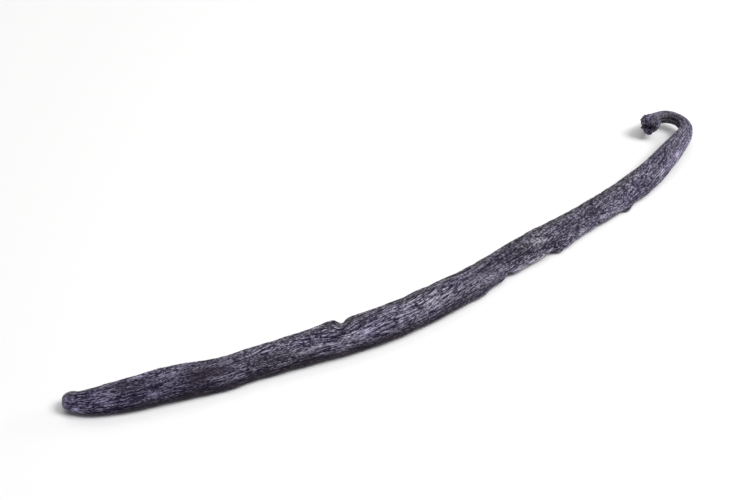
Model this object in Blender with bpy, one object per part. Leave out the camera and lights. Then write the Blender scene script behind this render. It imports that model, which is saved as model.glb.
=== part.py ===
"""A cured vanilla pod, lying on its belly.

It is one long, slightly flattened seed pod. One end is the blunt blossom end. The other is drawn out into a thin
stem, which curls back on itself and ends in the swollen foot that was broken off the stalk. The skin has long ribs,
a pinched fold across the back, a kink and a nick across the near side, and two warts.

Metres, +Z up, the table at Z = 0. +X runs from the blossom end towards the stem, and the origin is at the middle of
the underside of the pod's box. Sizes below are in millimetres and degrees.

A point of the skin is found from two numbers: its distance along the pod's spine, and its angle round the section,
where 0 is the left side seen from the blossom end, 90 the back, 180 the right side and 270 the belly.
"""

from typing import NamedTuple

import bmesh
import bpy
import numpy as np

MM = 0.001
NAME = "pod"

# The spine, seen from above: where it starts, which way it heads there, and how far it turns between two distances.
BLOSSOM_END = (-80.89, 7.06)
FIRST_HEADING = -35.5
BENDS = (
    # from, to, turn
    (1.0, 11.0, 20.5),
    (27.0, 34.0, 4.5),
    (46.0, 53.0, -2.0),
    (53.0, 65.0, 6.0),
    (66.0, 76.0, 7.5),
    (79.0, 89.0, 5.5),
    (96.0, 101.0, 2.0),
    (101.0, 108.0, -5.5),
    (111.0, 121.0, 4.0),
    (121.0, 137.0, 2.5),
    (140.0, 155.0, 12.0),
    (158.0, 164.0, 11.0),
    (161.0, 174.0, 115.0),
    (169.0, 178.5, 72.0),
)

# Width across and thickness of the pod at distances along its spine.
SECTIONS = (
    # distance, width, thickness
    (0.0, 4.5, 3.6),
    (2.5, 4.8, 3.8),
    (7.0, 6.4, 4.5),
    (13.0, 7.5, 4.8),
    (25.0, 8.0, 5.0),
    (37.0, 7.5, 4.7),
    (57.0, 8.4, 5.2),
    (68.0, 8.5, 5.2),
    (83.0, 8.1, 5.1),
    (91.0, 7.5, 4.7),
    (100.0, 6.9, 4.4),
    (110.0, 7.4, 4.6),
    (117.0, 7.1, 4.4),
    (125.0, 6.8, 4.2),
    (142.0, 6.5, 4.1),
    (149.0, 6.0, 4.0),
    (157.0, 4.9, 3.7),
    (161.0, 4.1, 3.4),
    (164.0, 3.1, 3.0),
    (171.0, 2.8, 2.8),
    (174.0, 3.0, 3.0),
    (176.5, 4.1, 3.9),
    (179.0, 4.3, 4.0),
)
LENGTH = SECTIONS[-1][0]

# How the pod lies: its belly is pressed flat on the table, and both ends come off it.
BELLY_FLAT = 0.3
BLOSSOM_LIFT = 0.6
BLOSSOM_LIFT_OVER = 14.0
STEM_LIFT = 2.4
STEM_LIFT_FROM = 135.0
STEM_LIFT_TO = 168.0


class Cap(NamedTuple):
    """The rounding of one end, and the hollow in the middle of the end's face."""

    length: float
    squareness: float
    hollow: float


BLOSSOM_CAP = Cap(length=2.6, squareness=2.5, hollow=0.5)
FOOT_CAP = Cap(length=1.0, squareness=2.8, hollow=0.7)
HOLLOW_SHARE = 0.7

# The skin's broad relief: a rounded triangle in section, with low ribs that wander as they run along the pod.
SIDES = 3
SIDES_DEPTH = 0.12
SIDES_TURN = 0.6
SIDES_TWIST_LENGTH = 60.0
RIBS = 9
RIB_DEPTH = 0.1
RIB_WANDER = 0.5
WANDER_LENGTHS = (17.0, 41.0)


class Fold(NamedTuple):
    """A valley across the skin. It slants by slant for each radian round the section, and may have a swelling."""

    distance: float
    angle: float
    slant: float
    depth: float
    half_length: float
    half_angle: float
    swelling: float


FOLDS = (
    Fold(distance=59.2, angle=42.0, slant=-1.6, depth=1.1, half_length=0.6, half_angle=44.0, swelling=0.35),
    Fold(distance=99.0, angle=208.0, slant=1.2, depth=0.55, half_length=1.4, half_angle=40.0, swelling=0.0),
    Fold(distance=125.5, angle=215.0, slant=0.5, depth=0.3, half_length=1.0, half_angle=35.0, swelling=0.1),
)
SWELLING_BACK = 2.2


class Wart(NamedTuple):
    """A round bump on the skin."""

    distance: float
    angle: float
    height: float
    radius: float


WARTS = (
    Wart(distance=113.2, angle=214.0, height=0.5, radius=0.95),
    Wart(distance=133.0, angle=214.0, height=0.4, radius=0.9),
)

# The foot: how far its lobes stand out, and where they begin.
FOOT_FROM = 174.5
FOOT_FULL = 177.0
LOBES = (
    # count, height, turn
    (3, 0.3, 20.0),
    (5, 0.15, 65.0),
)

# The mesh: points round a section and rows along the pod, crowded where the shape changes quickly.
POINTS_ROUND = 36
ROWS = 116
END_ROWS = 6
CROWDED = (
    # distance, spread, how many times as dense
    (3.0, 3.0, 1.0),
    (58.0, 2.5, 3.0),
    (99.0, 3.0, 1.5),
    (113.2, 1.8, 2.0),
    (125.5, 1.8, 1.0),
    (133.0, 1.8, 1.0),
    (167.0, 6.0, 1.0),
    (176.0, 2.5, 1.5),
)
SPINE_STEP = 0.05
DENSITY_STEP = 0.05

SKIN_COLOUR = (0.030, 0.025, 0.035, 1.0)
SKIN_ROUGHNESS = 0.42


def ease(x):
    """0 below 0, 1 above 1, and a smooth climb between them."""
    x = np.clip(x, 0.0, 1.0)
    return x * x * (3.0 - 2.0 * x)


def smooth_through(stations, values, at):
    """A smooth curve through values at stations: a cubic between each two, with the slopes of its neighbours."""
    slopes = np.gradient(values, stations)
    index = np.clip(np.searchsorted(stations, at) - 1, 0, len(stations) - 2)
    gap = stations[index + 1] - stations[index]
    t = np.clip((at - stations[index]) / gap, 0.0, 1.0)
    t2, t3 = t * t, t * t * t
    return (
        (2 * t3 - 3 * t2 + 1) * values[index]
        + (t3 - 2 * t2 + t) * gap * slopes[index]
        + (3 * t2 - 2 * t3) * values[index + 1]
        + (t3 - t2) * gap * slopes[index + 1]
    )


def heading_at(distance):
    """The spine's heading in radians: the first heading plus each bend's share of its turn."""
    turned = sum(turn * ease((distance - start) / (end - start)) for start, end, turn in BENDS)
    return np.radians(FIRST_HEADING + turned)


def spine_at(distance):
    """X and Y of the spine: steps of even length, each along the heading there, added up."""
    steps = np.arange(0.0, LENGTH + SPINE_STEP, SPINE_STEP)
    middle = heading_at(steps[:-1] + SPINE_STEP / 2)
    x = BLOSSOM_END[0] + np.concatenate([[0.0], np.cumsum(np.cos(middle))]) * SPINE_STEP
    y = BLOSSOM_END[1] + np.concatenate([[0.0], np.cumsum(np.sin(middle))]) * SPINE_STEP
    return np.interp(distance, steps, x), np.interp(distance, steps, y)


def half_sizes_at(distance):
    """Half the width and half the thickness of the section."""
    stations, width, thickness = np.array(SECTIONS).T
    return smooth_through(stations, width, distance) / 2, smooth_through(stations, thickness, distance) / 2


def height_at(distance, half_thickness):
    """Height of the spine above the table."""
    blossom = BLOSSOM_LIFT * np.clip(1.0 - distance / BLOSSOM_LIFT_OVER, 0.0, 1.0) ** 2
    stem = STEM_LIFT * ease((distance - STEM_LIFT_FROM) / (STEM_LIFT_TO - STEM_LIFT_FROM))
    return half_thickness - BELLY_FLAT + blossom + stem


def degrees_from(centre, angle):
    """How far round the section an angle in radians lies from centre, from -180 to 180 degrees."""
    return (np.degrees(angle) - centre + 180.0) % 360.0 - 180.0


def broad_relief_at(distance, angle):
    """The three rounded sides and the wandering ribs."""
    sides = SIDES_DEPTH * np.cos(SIDES * angle + SIDES_TURN + distance / SIDES_TWIST_LENGTH)
    wander = RIB_WANDER * sum(np.sin(distance / length) for length in WANDER_LENGTHS)
    return sides + RIB_DEPTH * np.cos(RIBS * angle + wander)


def folds_at(distance, angle):
    """The folds, each a valley with a swelling on its blossom side, both fading round the section."""
    out = np.zeros_like(distance)
    for fold in FOLDS:
        round_it = degrees_from(fold.angle, angle)
        along = distance - fold.distance - fold.slant * np.radians(round_it)
        valley = np.exp(-((along / fold.half_length) ** 2))
        swelling = np.exp(-(((along + SWELLING_BACK) / SWELLING_BACK) ** 2))
        fade = np.exp(-((round_it / fold.half_angle) ** 2))
        out += fade * (fold.swelling * swelling - fold.depth * valley)
    return out


def warts_at(distance, angle):
    """The warts, each a round hump measured over the skin."""
    half_width, half_thickness = half_sizes_at(distance)
    out = np.zeros_like(distance)
    for wart in WARTS:
        round_it = np.radians(degrees_from(wart.angle, angle)) * (half_width + half_thickness) / 2
        away = ((distance - wart.distance) ** 2 + round_it**2) / wart.radius**2
        out += wart.height * np.exp(-away)
    return out


def lobes_at(distance, angle):
    """The lobes that spread round the rim of the foot."""
    foot = ease((distance - FOOT_FROM) / (FOOT_FULL - FOOT_FROM))
    return foot * sum(height * np.cos(count * (angle - np.radians(turn))) for count, height, turn in LOBES)


def row_table():
    """For each row of the mesh, its distance along the spine and the share of the full section that it has.

    The rows of an end follow a superellipse, from its pole out to the full section. Between the ends, rows are
    spaced so that equal amounts of the wanted density lie between them.
    """
    quarter = np.linspace(0.0, np.pi / 2, END_ROWS + 1)[:-1]
    blossom_share = np.sin(quarter) ** (2 / BLOSSOM_CAP.squareness)
    blossom = BLOSSOM_CAP.length * (1.0 - np.cos(quarter) ** (2 / BLOSSOM_CAP.squareness))
    foot_share = np.sin(quarter) ** (2 / FOOT_CAP.squareness)
    foot = LENGTH - FOOT_CAP.length * (1.0 - np.cos(quarter) ** (2 / FOOT_CAP.squareness))

    fine = np.arange(BLOSSOM_CAP.length, LENGTH - FOOT_CAP.length, DENSITY_STEP)
    density = 1.0 + sum(more * np.exp(-(((fine - at) / spread) ** 2)) for at, spread, more in CROWDED)
    amount = np.concatenate([[0.0], np.cumsum((density[1:] + density[:-1]) / 2)])
    between = np.interp(np.linspace(0.0, amount[-1], ROWS + 1 - 2 * END_ROWS), amount, fine)

    distance = np.concatenate([blossom, between, foot[::-1]])
    share = np.concatenate([blossom_share, np.ones(len(between)), foot_share[::-1]])
    return distance, share


def skin_points(distance, share, angle):
    """X, Y and Z of skin points, in millimetres: the section and its relief, set across the spine."""
    from_middle = np.clip(1.0 - (share / HOLLOW_SHARE) ** 2, 0.0, 1.0) ** 2
    hollow = np.where(distance < LENGTH / 2, BLOSSOM_CAP.hollow, -FOOT_CAP.hollow) * from_middle
    x, y = spine_at(distance + hollow)
    heading = heading_at(distance)
    half_width, half_thickness = half_sizes_at(distance)
    relief = broad_relief_at(distance, angle)
    relief += folds_at(distance, angle) + warts_at(distance, angle) + lobes_at(distance, angle)
    across = share * (half_width + relief) * np.cos(angle)
    up = share * (half_thickness + relief) * np.sin(angle)
    x = x - across * np.sin(heading)
    y = y + across * np.cos(heading)
    z = np.maximum(height_at(distance, half_thickness) + up, 0.0)
    return np.stack([x, y, z], axis=1)


def clear_scene():
    """Remove whatever objects the file opened with."""
    for obj in list(bpy.data.objects):
        bpy.data.objects.remove(obj, do_unlink=True)


def skin_material():
    """The skin's plain colour and gloss."""
    material = bpy.data.materials.new("vanilla_skin")
    material.use_nodes = True
    shader = material.node_tree.nodes["Principled BSDF"]
    shader.inputs["Base Color"].default_value = SKIN_COLOUR
    shader.inputs["Roughness"].default_value = SKIN_ROUGHNESS
    shader.inputs["Metallic"].default_value = 0.0
    return material


def make_pod(collection):
    """A UV sphere, drawn out along the spine: its rings become sections, and its poles the middles of the ends."""
    shape = bmesh.new()
    bmesh.ops.create_uvsphere(shape, u_segments=POINTS_ROUND, v_segments=ROWS, radius=1.0)
    ball = np.array([vertex.co for vertex in shape.verts])
    row = np.rint(np.arccos(np.clip(ball[:, 2], -1.0, 1.0)) / np.pi * ROWS).astype(int)
    angle = -np.arctan2(ball[:, 1], ball[:, 0])
    distance, share = row_table()
    points = skin_points(distance[row], share[row], angle) * MM
    for vertex, point in zip(shape.verts, points):
        vertex.co = point

    mesh = bpy.data.meshes.new(NAME)
    shape.to_mesh(mesh)
    shape.free()
    mesh.shade_smooth()
    mesh.materials.append(skin_material())
    pod = bpy.data.objects.new(NAME, mesh)
    collection.objects.link(pod)
    return pod


def main():
    """Make the pod in a collection of its own."""
    clear_scene()
    bpy.context.scene.unit_settings.system = "METRIC"
    collection = bpy.data.collections.new("vanilla_pod")
    bpy.context.scene.collection.children.link(collection)
    make_pod(collection)


if __name__ == "__main__":
    main()
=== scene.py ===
"""The looks of a cured vanilla pod, lying on its belly on a pale table.

The pod is one closed skin, worked out on a grid of rows along it and columns round it, and dressed with an
oily, wrinkled finish. It stands for the part's plain solid, and keeps its spine, sections, folds and warts.

The pod's sizes are in millimetres and its angles in degrees until its mesh is made, which takes metres. The
table and the lights are in metres. A point of the skin is found from its distance along the spine, from the
blossom end, and its angle round the section, where 0 is the left side seen from the blossom end, 90 the back,
180 the right side and 270 the belly.
"""

import itertools
import logging
import math
from collections.abc import Callable
from dataclasses import dataclass
from enum import Enum
from typing import Any, NamedTuple, TypeVar

import bpy
import numpy as np
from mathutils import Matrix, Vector
from numpy.typing import NDArray


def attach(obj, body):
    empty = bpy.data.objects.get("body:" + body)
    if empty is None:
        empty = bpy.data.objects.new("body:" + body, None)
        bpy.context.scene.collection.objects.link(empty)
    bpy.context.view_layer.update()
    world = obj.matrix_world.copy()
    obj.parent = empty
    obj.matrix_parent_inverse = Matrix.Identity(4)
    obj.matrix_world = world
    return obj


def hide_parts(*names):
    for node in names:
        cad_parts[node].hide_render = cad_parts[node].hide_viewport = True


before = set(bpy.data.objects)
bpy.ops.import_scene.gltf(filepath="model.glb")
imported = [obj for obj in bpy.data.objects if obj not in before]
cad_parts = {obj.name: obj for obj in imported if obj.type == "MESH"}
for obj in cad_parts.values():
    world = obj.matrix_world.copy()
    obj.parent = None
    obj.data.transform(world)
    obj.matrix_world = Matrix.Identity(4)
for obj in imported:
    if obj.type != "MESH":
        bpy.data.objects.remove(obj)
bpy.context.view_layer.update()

Grid = NDArray[np.float64]  # a value for each point of the skin
Points = NDArray[np.float64]  # three coordinates for each point, along the last axis
Colour = tuple[float, float, float]
Socket = bpy.types.NodeSocket
Row = TypeVar("Row")

MM = 0.001
NODE = "pod"
BODY = "root"

log = logging.getLogger("vanilla_pod")


# ------------------------------ shaping functions


def rows(kind: Callable[..., Row], *table: tuple[float, ...]) -> tuple[Row, ...]:
    """One thing of the kind for each row of a table, whose numbers are its fields in their order."""
    return tuple(kind(*row) for row in table)


def ease(x: Grid) -> Grid:
    """0 below 0, 1 above 1, and a smooth climb between them."""
    x = np.clip(x, 0.0, 1.0)
    return x * x * (3.0 - 2.0 * x)


def climb(x: Grid, start: float, end: float) -> Grid:
    """0 before start, 1 after end, and a smooth climb between them."""
    return ease((x - start) / (end - start))


def between(x: Grid, start: float, end: float, soft: float) -> Grid:
    """1 from start to end and 0 outside, with a smooth change over soft on either side."""
    return ease((x - start) / soft + 0.5) * ease((end - x) / soft + 0.5)


def bell(x: Grid, half_width: float) -> Grid:
    """A smooth hump, 1 at 0, which has fallen to about a third at half_width."""
    return np.exp(-((x / half_width) ** 2))


def degrees_from(centre: float, angle: Grid) -> Grid:
    """How far round the section an angle in radians lies from centre, from -180 to 180 degrees."""
    return (np.degrees(angle) - centre + 180.0) % 360.0 - 180.0


def tube(distance: Grid, radius: Grid, angle: Grid) -> Points:
    """Points on a straight tube: the distance along it, and the two coordinates across it."""
    return np.stack([distance, radius * np.cos(angle), radius * np.sin(angle)], axis=-1)


def smooth_through(stations: Grid, values: Grid, at: Grid) -> Grid:
    """A smooth curve through values at stations: a cubic between each two, with the slopes of its neighbours.

    Args:
        stations: Rising places where the values are known.
        values: The values there.
        at: Where the curve is wanted.

    Returns:
        The curve's values, shaped as at is.
    """
    slopes = np.gradient(values, stations)
    index = np.clip(np.searchsorted(stations, at) - 1, 0, len(stations) - 2)
    gap = stations[index + 1] - stations[index]
    t = np.clip((at - stations[index]) / gap, 0.0, 1.0)
    t2, t3 = t * t, t * t * t
    return (
        (2 * t3 - 3 * t2 + 1) * values[index]
        + (t3 - 2 * t2 + t) * gap * slopes[index]
        + (3 * t2 - 2 * t3) * values[index + 1]
        + (t3 - t2) * gap * slopes[index + 1]
    )


@dataclass(frozen=True)
class GradientNoise:
    """Smooth noise from about -1 to 1, whose lumps have one size along and another across.

    Each corner of a lattice has its own slope, and a point blends the eight corners about it.
    """

    seed: int
    along: float = 1.0
    across: float = 1.0
    table: int = 256
    gain: float = 1.7

    def at(self, place: Points) -> Grid:
        """The noise at points: the sum over a cell's corners of each one's slope times the way there, faded.

        Args:
            place: The points. The first coordinate is the one along.

        Returns:
            The noise at each point.
        """
        rng = np.random.default_rng(self.seed)
        order = rng.permutation(self.table)
        slopes = rng.normal(size=(self.table, 3))
        slopes /= np.linalg.norm(slopes, axis=1, keepdims=True)
        point = place / np.array([self.along, self.across, self.across])
        cell = np.floor(point).astype(int)
        rest = point - cell
        fade = rest**3 * (rest * (6.0 * rest - 15.0) + 10.0)
        total = np.zeros(point.shape[:-1])
        for corner in itertools.product((0, 1), repeat=3):
            entry = np.zeros(total.shape, int)
            for axis in np.moveaxis(cell + corner, -1, 0):
                entry = order[(entry + axis) % self.table]
            slope = np.sum(slopes[entry] * (rest - corner), axis=-1)
            total += np.prod(np.where(corner, fade, 1.0 - fade), axis=-1) * slope
        return self.gain * total


# ------------------------------ the shape of the part


class Bend(NamedTuple):
    """A stretch of the spine that turns to the left by turn degrees."""

    start: float
    end: float
    turn: float


class Station(NamedTuple):
    """The pod's width across and thickness at a distance along the spine."""

    distance: float
    width: float
    thickness: float


@dataclass(frozen=True)
class Spine:
    """The line along the middle of the pod, seen from above."""

    start: tuple[float, float] = (-80.89, 7.06)
    first_heading: float = -35.5
    length: float = 179.0
    step: float = 0.05
    bends: tuple[Bend, ...] = rows(
        Bend,
        (1, 11, 20.5), (27, 34, 4.5), (46, 53, -2), (53, 65, 6), (66, 76, 7.5), (79, 89, 5.5), (96, 101, 2),
        (101, 108, -5.5), (111, 121, 4), (121, 137, 2.5), (140, 155, 12), (158, 164, 11), (161, 174, 115),
        (169, 178.5, 72),
    )

    def heading(self, distance: Grid) -> Grid:
        """The heading in radians: the first heading plus each bend's share of its turn."""
        turned = sum(bend.turn * climb(distance, bend.start, bend.end) for bend in self.bends)
        return np.radians(self.first_heading + turned)

    def place(self, distance: Grid) -> tuple[Grid, Grid]:
        """X and Y of the spine: steps of even length, each along the heading there, added up.

        Args:
            distance: Distances along the spine.

        Returns:
            X and Y at those distances.
        """
        steps = np.arange(0.0, self.length + self.step, self.step)
        middle = self.heading(steps[:-1] + self.step / 2)
        x = self.start[0] + np.concatenate([[0.0], np.cumsum(np.cos(middle))]) * self.step
        y = self.start[1] + np.concatenate([[0.0], np.cumsum(np.sin(middle))]) * self.step
        return np.interp(distance, steps, x), np.interp(distance, steps, y)


@dataclass(frozen=True)
class Girth:
    """How wide and thick the pod is along its spine, and how high it lies."""

    stations: tuple[Station, ...] = rows(
        Station,
        (0, 4.5, 3.6), (2.5, 4.8, 3.8), (7, 6.4, 4.5), (13, 7.5, 4.8), (25, 8, 5), (37, 7.5, 4.7),
        (57, 8.4, 5.2), (68, 8.5, 5.2), (83, 8.1, 5.1), (91, 7.5, 4.7), (100, 6.9, 4.4), (110, 7.4, 4.6),
        (117, 7.1, 4.4), (125, 6.8, 4.2), (142, 6.5, 4.1), (149, 6, 4), (157, 4.9, 3.7), (161, 4.1, 3.4),
        (164, 3.1, 3), (171, 2.8, 2.8), (174, 3, 3), (176.5, 4.1, 3.9), (179, 4.3, 4),
    )
    belly_flat: float = 0.3
    blossom_lift: float = 0.6
    blossom_lift_over: float = 14.0
    stem_lift: float = 2.4
    stem_lift_from: float = 135.0
    stem_lift_to: float = 168.0

    def half_sizes(self, distance: Grid) -> tuple[Grid, Grid]:
        """Half the width and half the thickness of the section at distances."""
        distances, width, thickness = np.array(self.stations).T
        return tuple(smooth_through(distances, size, distance) / 2 for size in (width, thickness))

    def height(self, distance: Grid) -> Grid:
        """Height of the spine: half the thickness, less the flat of the belly, plus both ends' lifts.

        Args:
            distance: Distances along the spine.

        Returns:
            The height above the table there.
        """
        blossom = self.blossom_lift * np.clip(1.0 - distance / self.blossom_lift_over, 0.0, 1.0) ** 2
        stem = self.stem_lift * climb(distance, self.stem_lift_from, self.stem_lift_to)
        return self.half_sizes(distance)[1] - self.belly_flat + blossom + stem


class Cap(NamedTuple):
    """The rounding of one end, and the hollow in the middle of the end's face."""

    length: float
    squareness: float
    hollow: float
    rows: int


class Crowding(NamedTuple):
    """A place along the pod where rows lie closer, and how many more there are than elsewhere."""

    distance: float
    spread: float
    more: float


@dataclass(frozen=True)
class SkinGrid:
    """The points of the skin, as rows along the pod and columns round it, and how they lie on it."""

    distance: Grid
    share: Grid
    angle: Grid
    radius: Grid

    def tube(self) -> Points:
        """The skin as a straight tube."""
        return tube(self.distance, self.share * self.radius, self.angle)

    def arc(self, centre: float) -> Grid:
        """How far round the skin each point lies from the angle centre, in millimetres."""
        return np.radians(degrees_from(centre, self.angle)) * self.radius

    def away(self, distance: float, angle: float) -> Grid:
        """How far over the skin each point lies from a place, in millimetres."""
        return np.hypot(self.distance - distance, self.arc(angle))


class Patch(NamedTuple):
    """A soft oval on the skin where something is stronger, or weaker if its amount is negative."""

    distance: float
    angle: float
    half_length: float
    half_angle: float
    amount: float

    def over(self, grid: SkinGrid) -> Grid:
        """The amount at each point: a bell along the pod times a bell round it."""
        round_it = bell(degrees_from(self.angle, grid.angle), self.half_angle)
        return self.amount * bell(grid.distance - self.distance, self.half_length) * round_it


def sum_of(patches: tuple[Patch, ...], grid: SkinGrid) -> Grid:
    """The amounts of patches at each point, added up."""
    return sum(patch.over(grid) for patch in patches)


class Fold(NamedTuple):
    """A valley across the skin, which slants by slant for each radian round it.

    Its stem side is far_side times as long as its blossom side, and a swelling may lie before it.
    """

    distance: float
    angle: float
    slant: float
    depth: float
    half_length: float
    half_angle: float
    swelling: float
    far_side: float = 1.0

    def along(self, grid: SkinGrid) -> Grid:
        """How far along the pod each point lies from the bottom of the valley."""
        return grid.distance - self.distance - self.slant * np.radians(degrees_from(self.angle, grid.angle))


class Wart(NamedTuple):
    """A round bump on the skin."""

    distance: float
    angle: float
    height: float
    radius: float


class Lobes(NamedTuple):
    """A ring of bumps round the rim of the foot."""

    count: int
    height: float
    turn: float


@dataclass(frozen=True)
class BroadRelief:
    """The large relief that the part's solid has too."""

    sides: int = 3
    sides_depth: float = 0.12
    sides_turn: float = 0.6
    sides_twist_length: float = 60.0
    ribs: int = 9
    rib_depth: float = 0.1
    rib_wander: float = 0.5
    wander_lengths: tuple[float, ...] = (17.0, 41.0)
    pinched_fold: Fold = Fold(59.0, 42.0, -1.6, 1.15, 0.6, 44.0, 0.45, 2.4)
    kink: Fold = Fold(99.0, 208.0, 1.2, 0.55, 1.4, 40.0, 0.0)
    nick: Fold = Fold(125.5, 215.0, 0.5, 0.3, 1.0, 35.0, 0.1)
    swelling_back: float = 2.6
    swelling_length: float = 3.4
    warts: tuple[Wart, ...] = (Wart(113.6, 206.0, 0.68, 0.95), Wart(134.4, 206.0, 0.48, 0.9))
    foot_from: float = 174.5
    foot_full: float = 177.0
    lobes: tuple[Lobes, ...] = (Lobes(3, 0.3, 20.0), Lobes(5, 0.15, 65.0))

    def height(self, grid: SkinGrid) -> Grid:
        """Three rounded sides and nine wandering ribs, plus the folds, the warts and the foot's lobes.

        Args:
            grid: The skin's grid.

        Returns:
            How far each point is lifted off the plain section.
        """
        sides = np.cos(self.sides * grid.angle + self.sides_turn + grid.distance / self.sides_twist_length)
        wander = self.rib_wander * sum(np.sin(grid.distance / length) for length in self.wander_lengths)
        out = self.sides_depth * sides + self.rib_depth * np.cos(self.ribs * grid.angle + wander)
        for fold in (self.pinched_fold, self.kink, self.nick):
            along = fold.along(grid)
            fade = bell(degrees_from(fold.angle, grid.angle), fold.half_angle)
            swelling = bell(along + self.swelling_back, self.swelling_length)
            valley = bell(along / np.where(along > 0.0, fold.far_side, 1.0), fold.half_length)
            out += fade * (fold.swelling * swelling - fold.depth * valley)
        for wart in self.warts:
            out += wart.height * bell(grid.away(wart.distance, wart.angle), wart.radius)
        foot = climb(grid.distance, self.foot_from, self.foot_full)
        for ring in self.lobes:
            out += foot * ring.height * np.cos(ring.count * (grid.angle - math.radians(ring.turn)))
        return out


# ------------------------------ the fine relief


class BareSkin(NamedTuple):
    """The skin before its fine relief: its grid, its points unrolled along its flow, and their places."""

    grid: SkinGrid
    flow: Points
    place: Points


class Relief(NamedTuple):
    """One kind of fine relief: how far it lifts each point, how deep in a groove that is, and how pale."""

    height: Grid
    groove: Grid
    pale: Grid | float = 0.0


class FineSkin(NamedTuple):
    """All the fine relief: its height, and how deep in a groove, high on a ridge and pale each point is."""

    height: Grid
    groove: Grid
    crest: Grid
    pale: Grid


@dataclass(frozen=True)
class SkinFlow:
    """The way the wrinkles run: along the pod, in slow waves, and drawn together at the pinched fold."""

    twist_length: float = 60.0
    wave: float = 0.28
    waves: GradientNoise = GradientNoise(11, 15.0, 5.0)
    ripple: float = 0.09
    ripples: GradientNoise = GradientNoise(12, 3.4, 2.2)
    gather: float = 0.5
    gather_over: float = 3.2
    gather_angle: float = 118.0
    gather_half_angle: float = 60.0
    narrowing: float = 0.6
    usual_radius: float = 3.2

    def turned(self, grid: SkinGrid, fold: Fold) -> Grid:
        """The angle round the pod that a wrinkle keeps as it runs along.

        It is the point's own angle, plus the twist, a slow wave, a quick ripple, and a spread near the fold
        which crowds the wrinkles there.

        Args:
            grid: The skin's grid.
            fold: The pinched fold.

        Returns:
            The angle at each point, in radians.
        """
        waves = self.wave * self.waves.at(grid.tube())
        ripples = self.ripple * self.ripples.at(grid.tube())
        from_fold = degrees_from(self.gather_angle, grid.angle)
        spread = np.radians(from_fold) * bell(from_fold, self.gather_half_angle)
        gather = self.gather * spread * bell(fold.along(grid), self.gather_over)
        return grid.angle + grid.distance / self.twist_length + waves + ripples + gather

    def unrolled(self, grid: SkinGrid, fold: Fold) -> Points:
        """The skin as a straight tube of turned angles, which narrows less than the pod does."""
        radius = self.usual_radius * (grid.radius / self.usual_radius) ** self.narrowing
        return tube(grid.distance, grid.share * radius, self.turned(grid, fold))


@dataclass(frozen=True)
class Wrinkles:
    """Rounded ridges parted by narrow grooves, which lie where a stretched noise passes through zero."""

    noise: GradientNoise
    depth: float
    groove_width: float
    rounding: float
    slant: float = 0.0

    def relief(self, skin: BareSkin) -> Relief:
        """Ridges rise from each groove as 1 - exp(-|noise| / rounding), and fall to the next one alike.

        Args:
            skin: The skin before its fine relief.

        Returns:
            The relief, 0 at the top of a ridge and -depth in a groove.
        """
        distance, y, z = np.moveaxis(skin.flow, -1, 0)
        turn = self.slant * distance
        y, z = y * np.cos(turn) - z * np.sin(turn), y * np.sin(turn) + z * np.cos(turn)
        noise = np.abs(self.noise.at(np.stack([distance, y, z], axis=-1)))
        return Relief(-self.depth * np.exp(-noise / self.rounding), np.exp(-noise / self.groove_width))


@dataclass(frozen=True)
class Ribs:
    """Rounded ribs side by side round the pod, parted by sharp grooves, which run along it and wander."""

    noise: GradientNoise
    count: int
    depth: float
    wander: float
    groove_width: float

    def relief(self, skin: BareSkin) -> Relief:
        """Each rib is the size of a sine of the angle, to which wander times a noise is added.

        Args:
            skin: The skin before its fine relief.

        Returns:
            The relief, 0 at the top of a rib and -depth in a groove.
        """
        angle = np.arctan2(skin.flow[..., 2], skin.flow[..., 1])
        rib = np.abs(np.sin(self.count / 2 * angle + self.wander * self.noise.at(skin.flow)))
        return Relief(-self.depth * (1.0 - rib), bell(rib, self.groove_width))


class Mark(NamedTuple):
    """A small oval mark that rises or sinks, is pale or dark, and leans from the pod's length by degrees."""

    distance: float
    angle: float
    half_length: float
    half_width: float
    rise: float
    pale: float
    lean: float = 0.0


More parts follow.
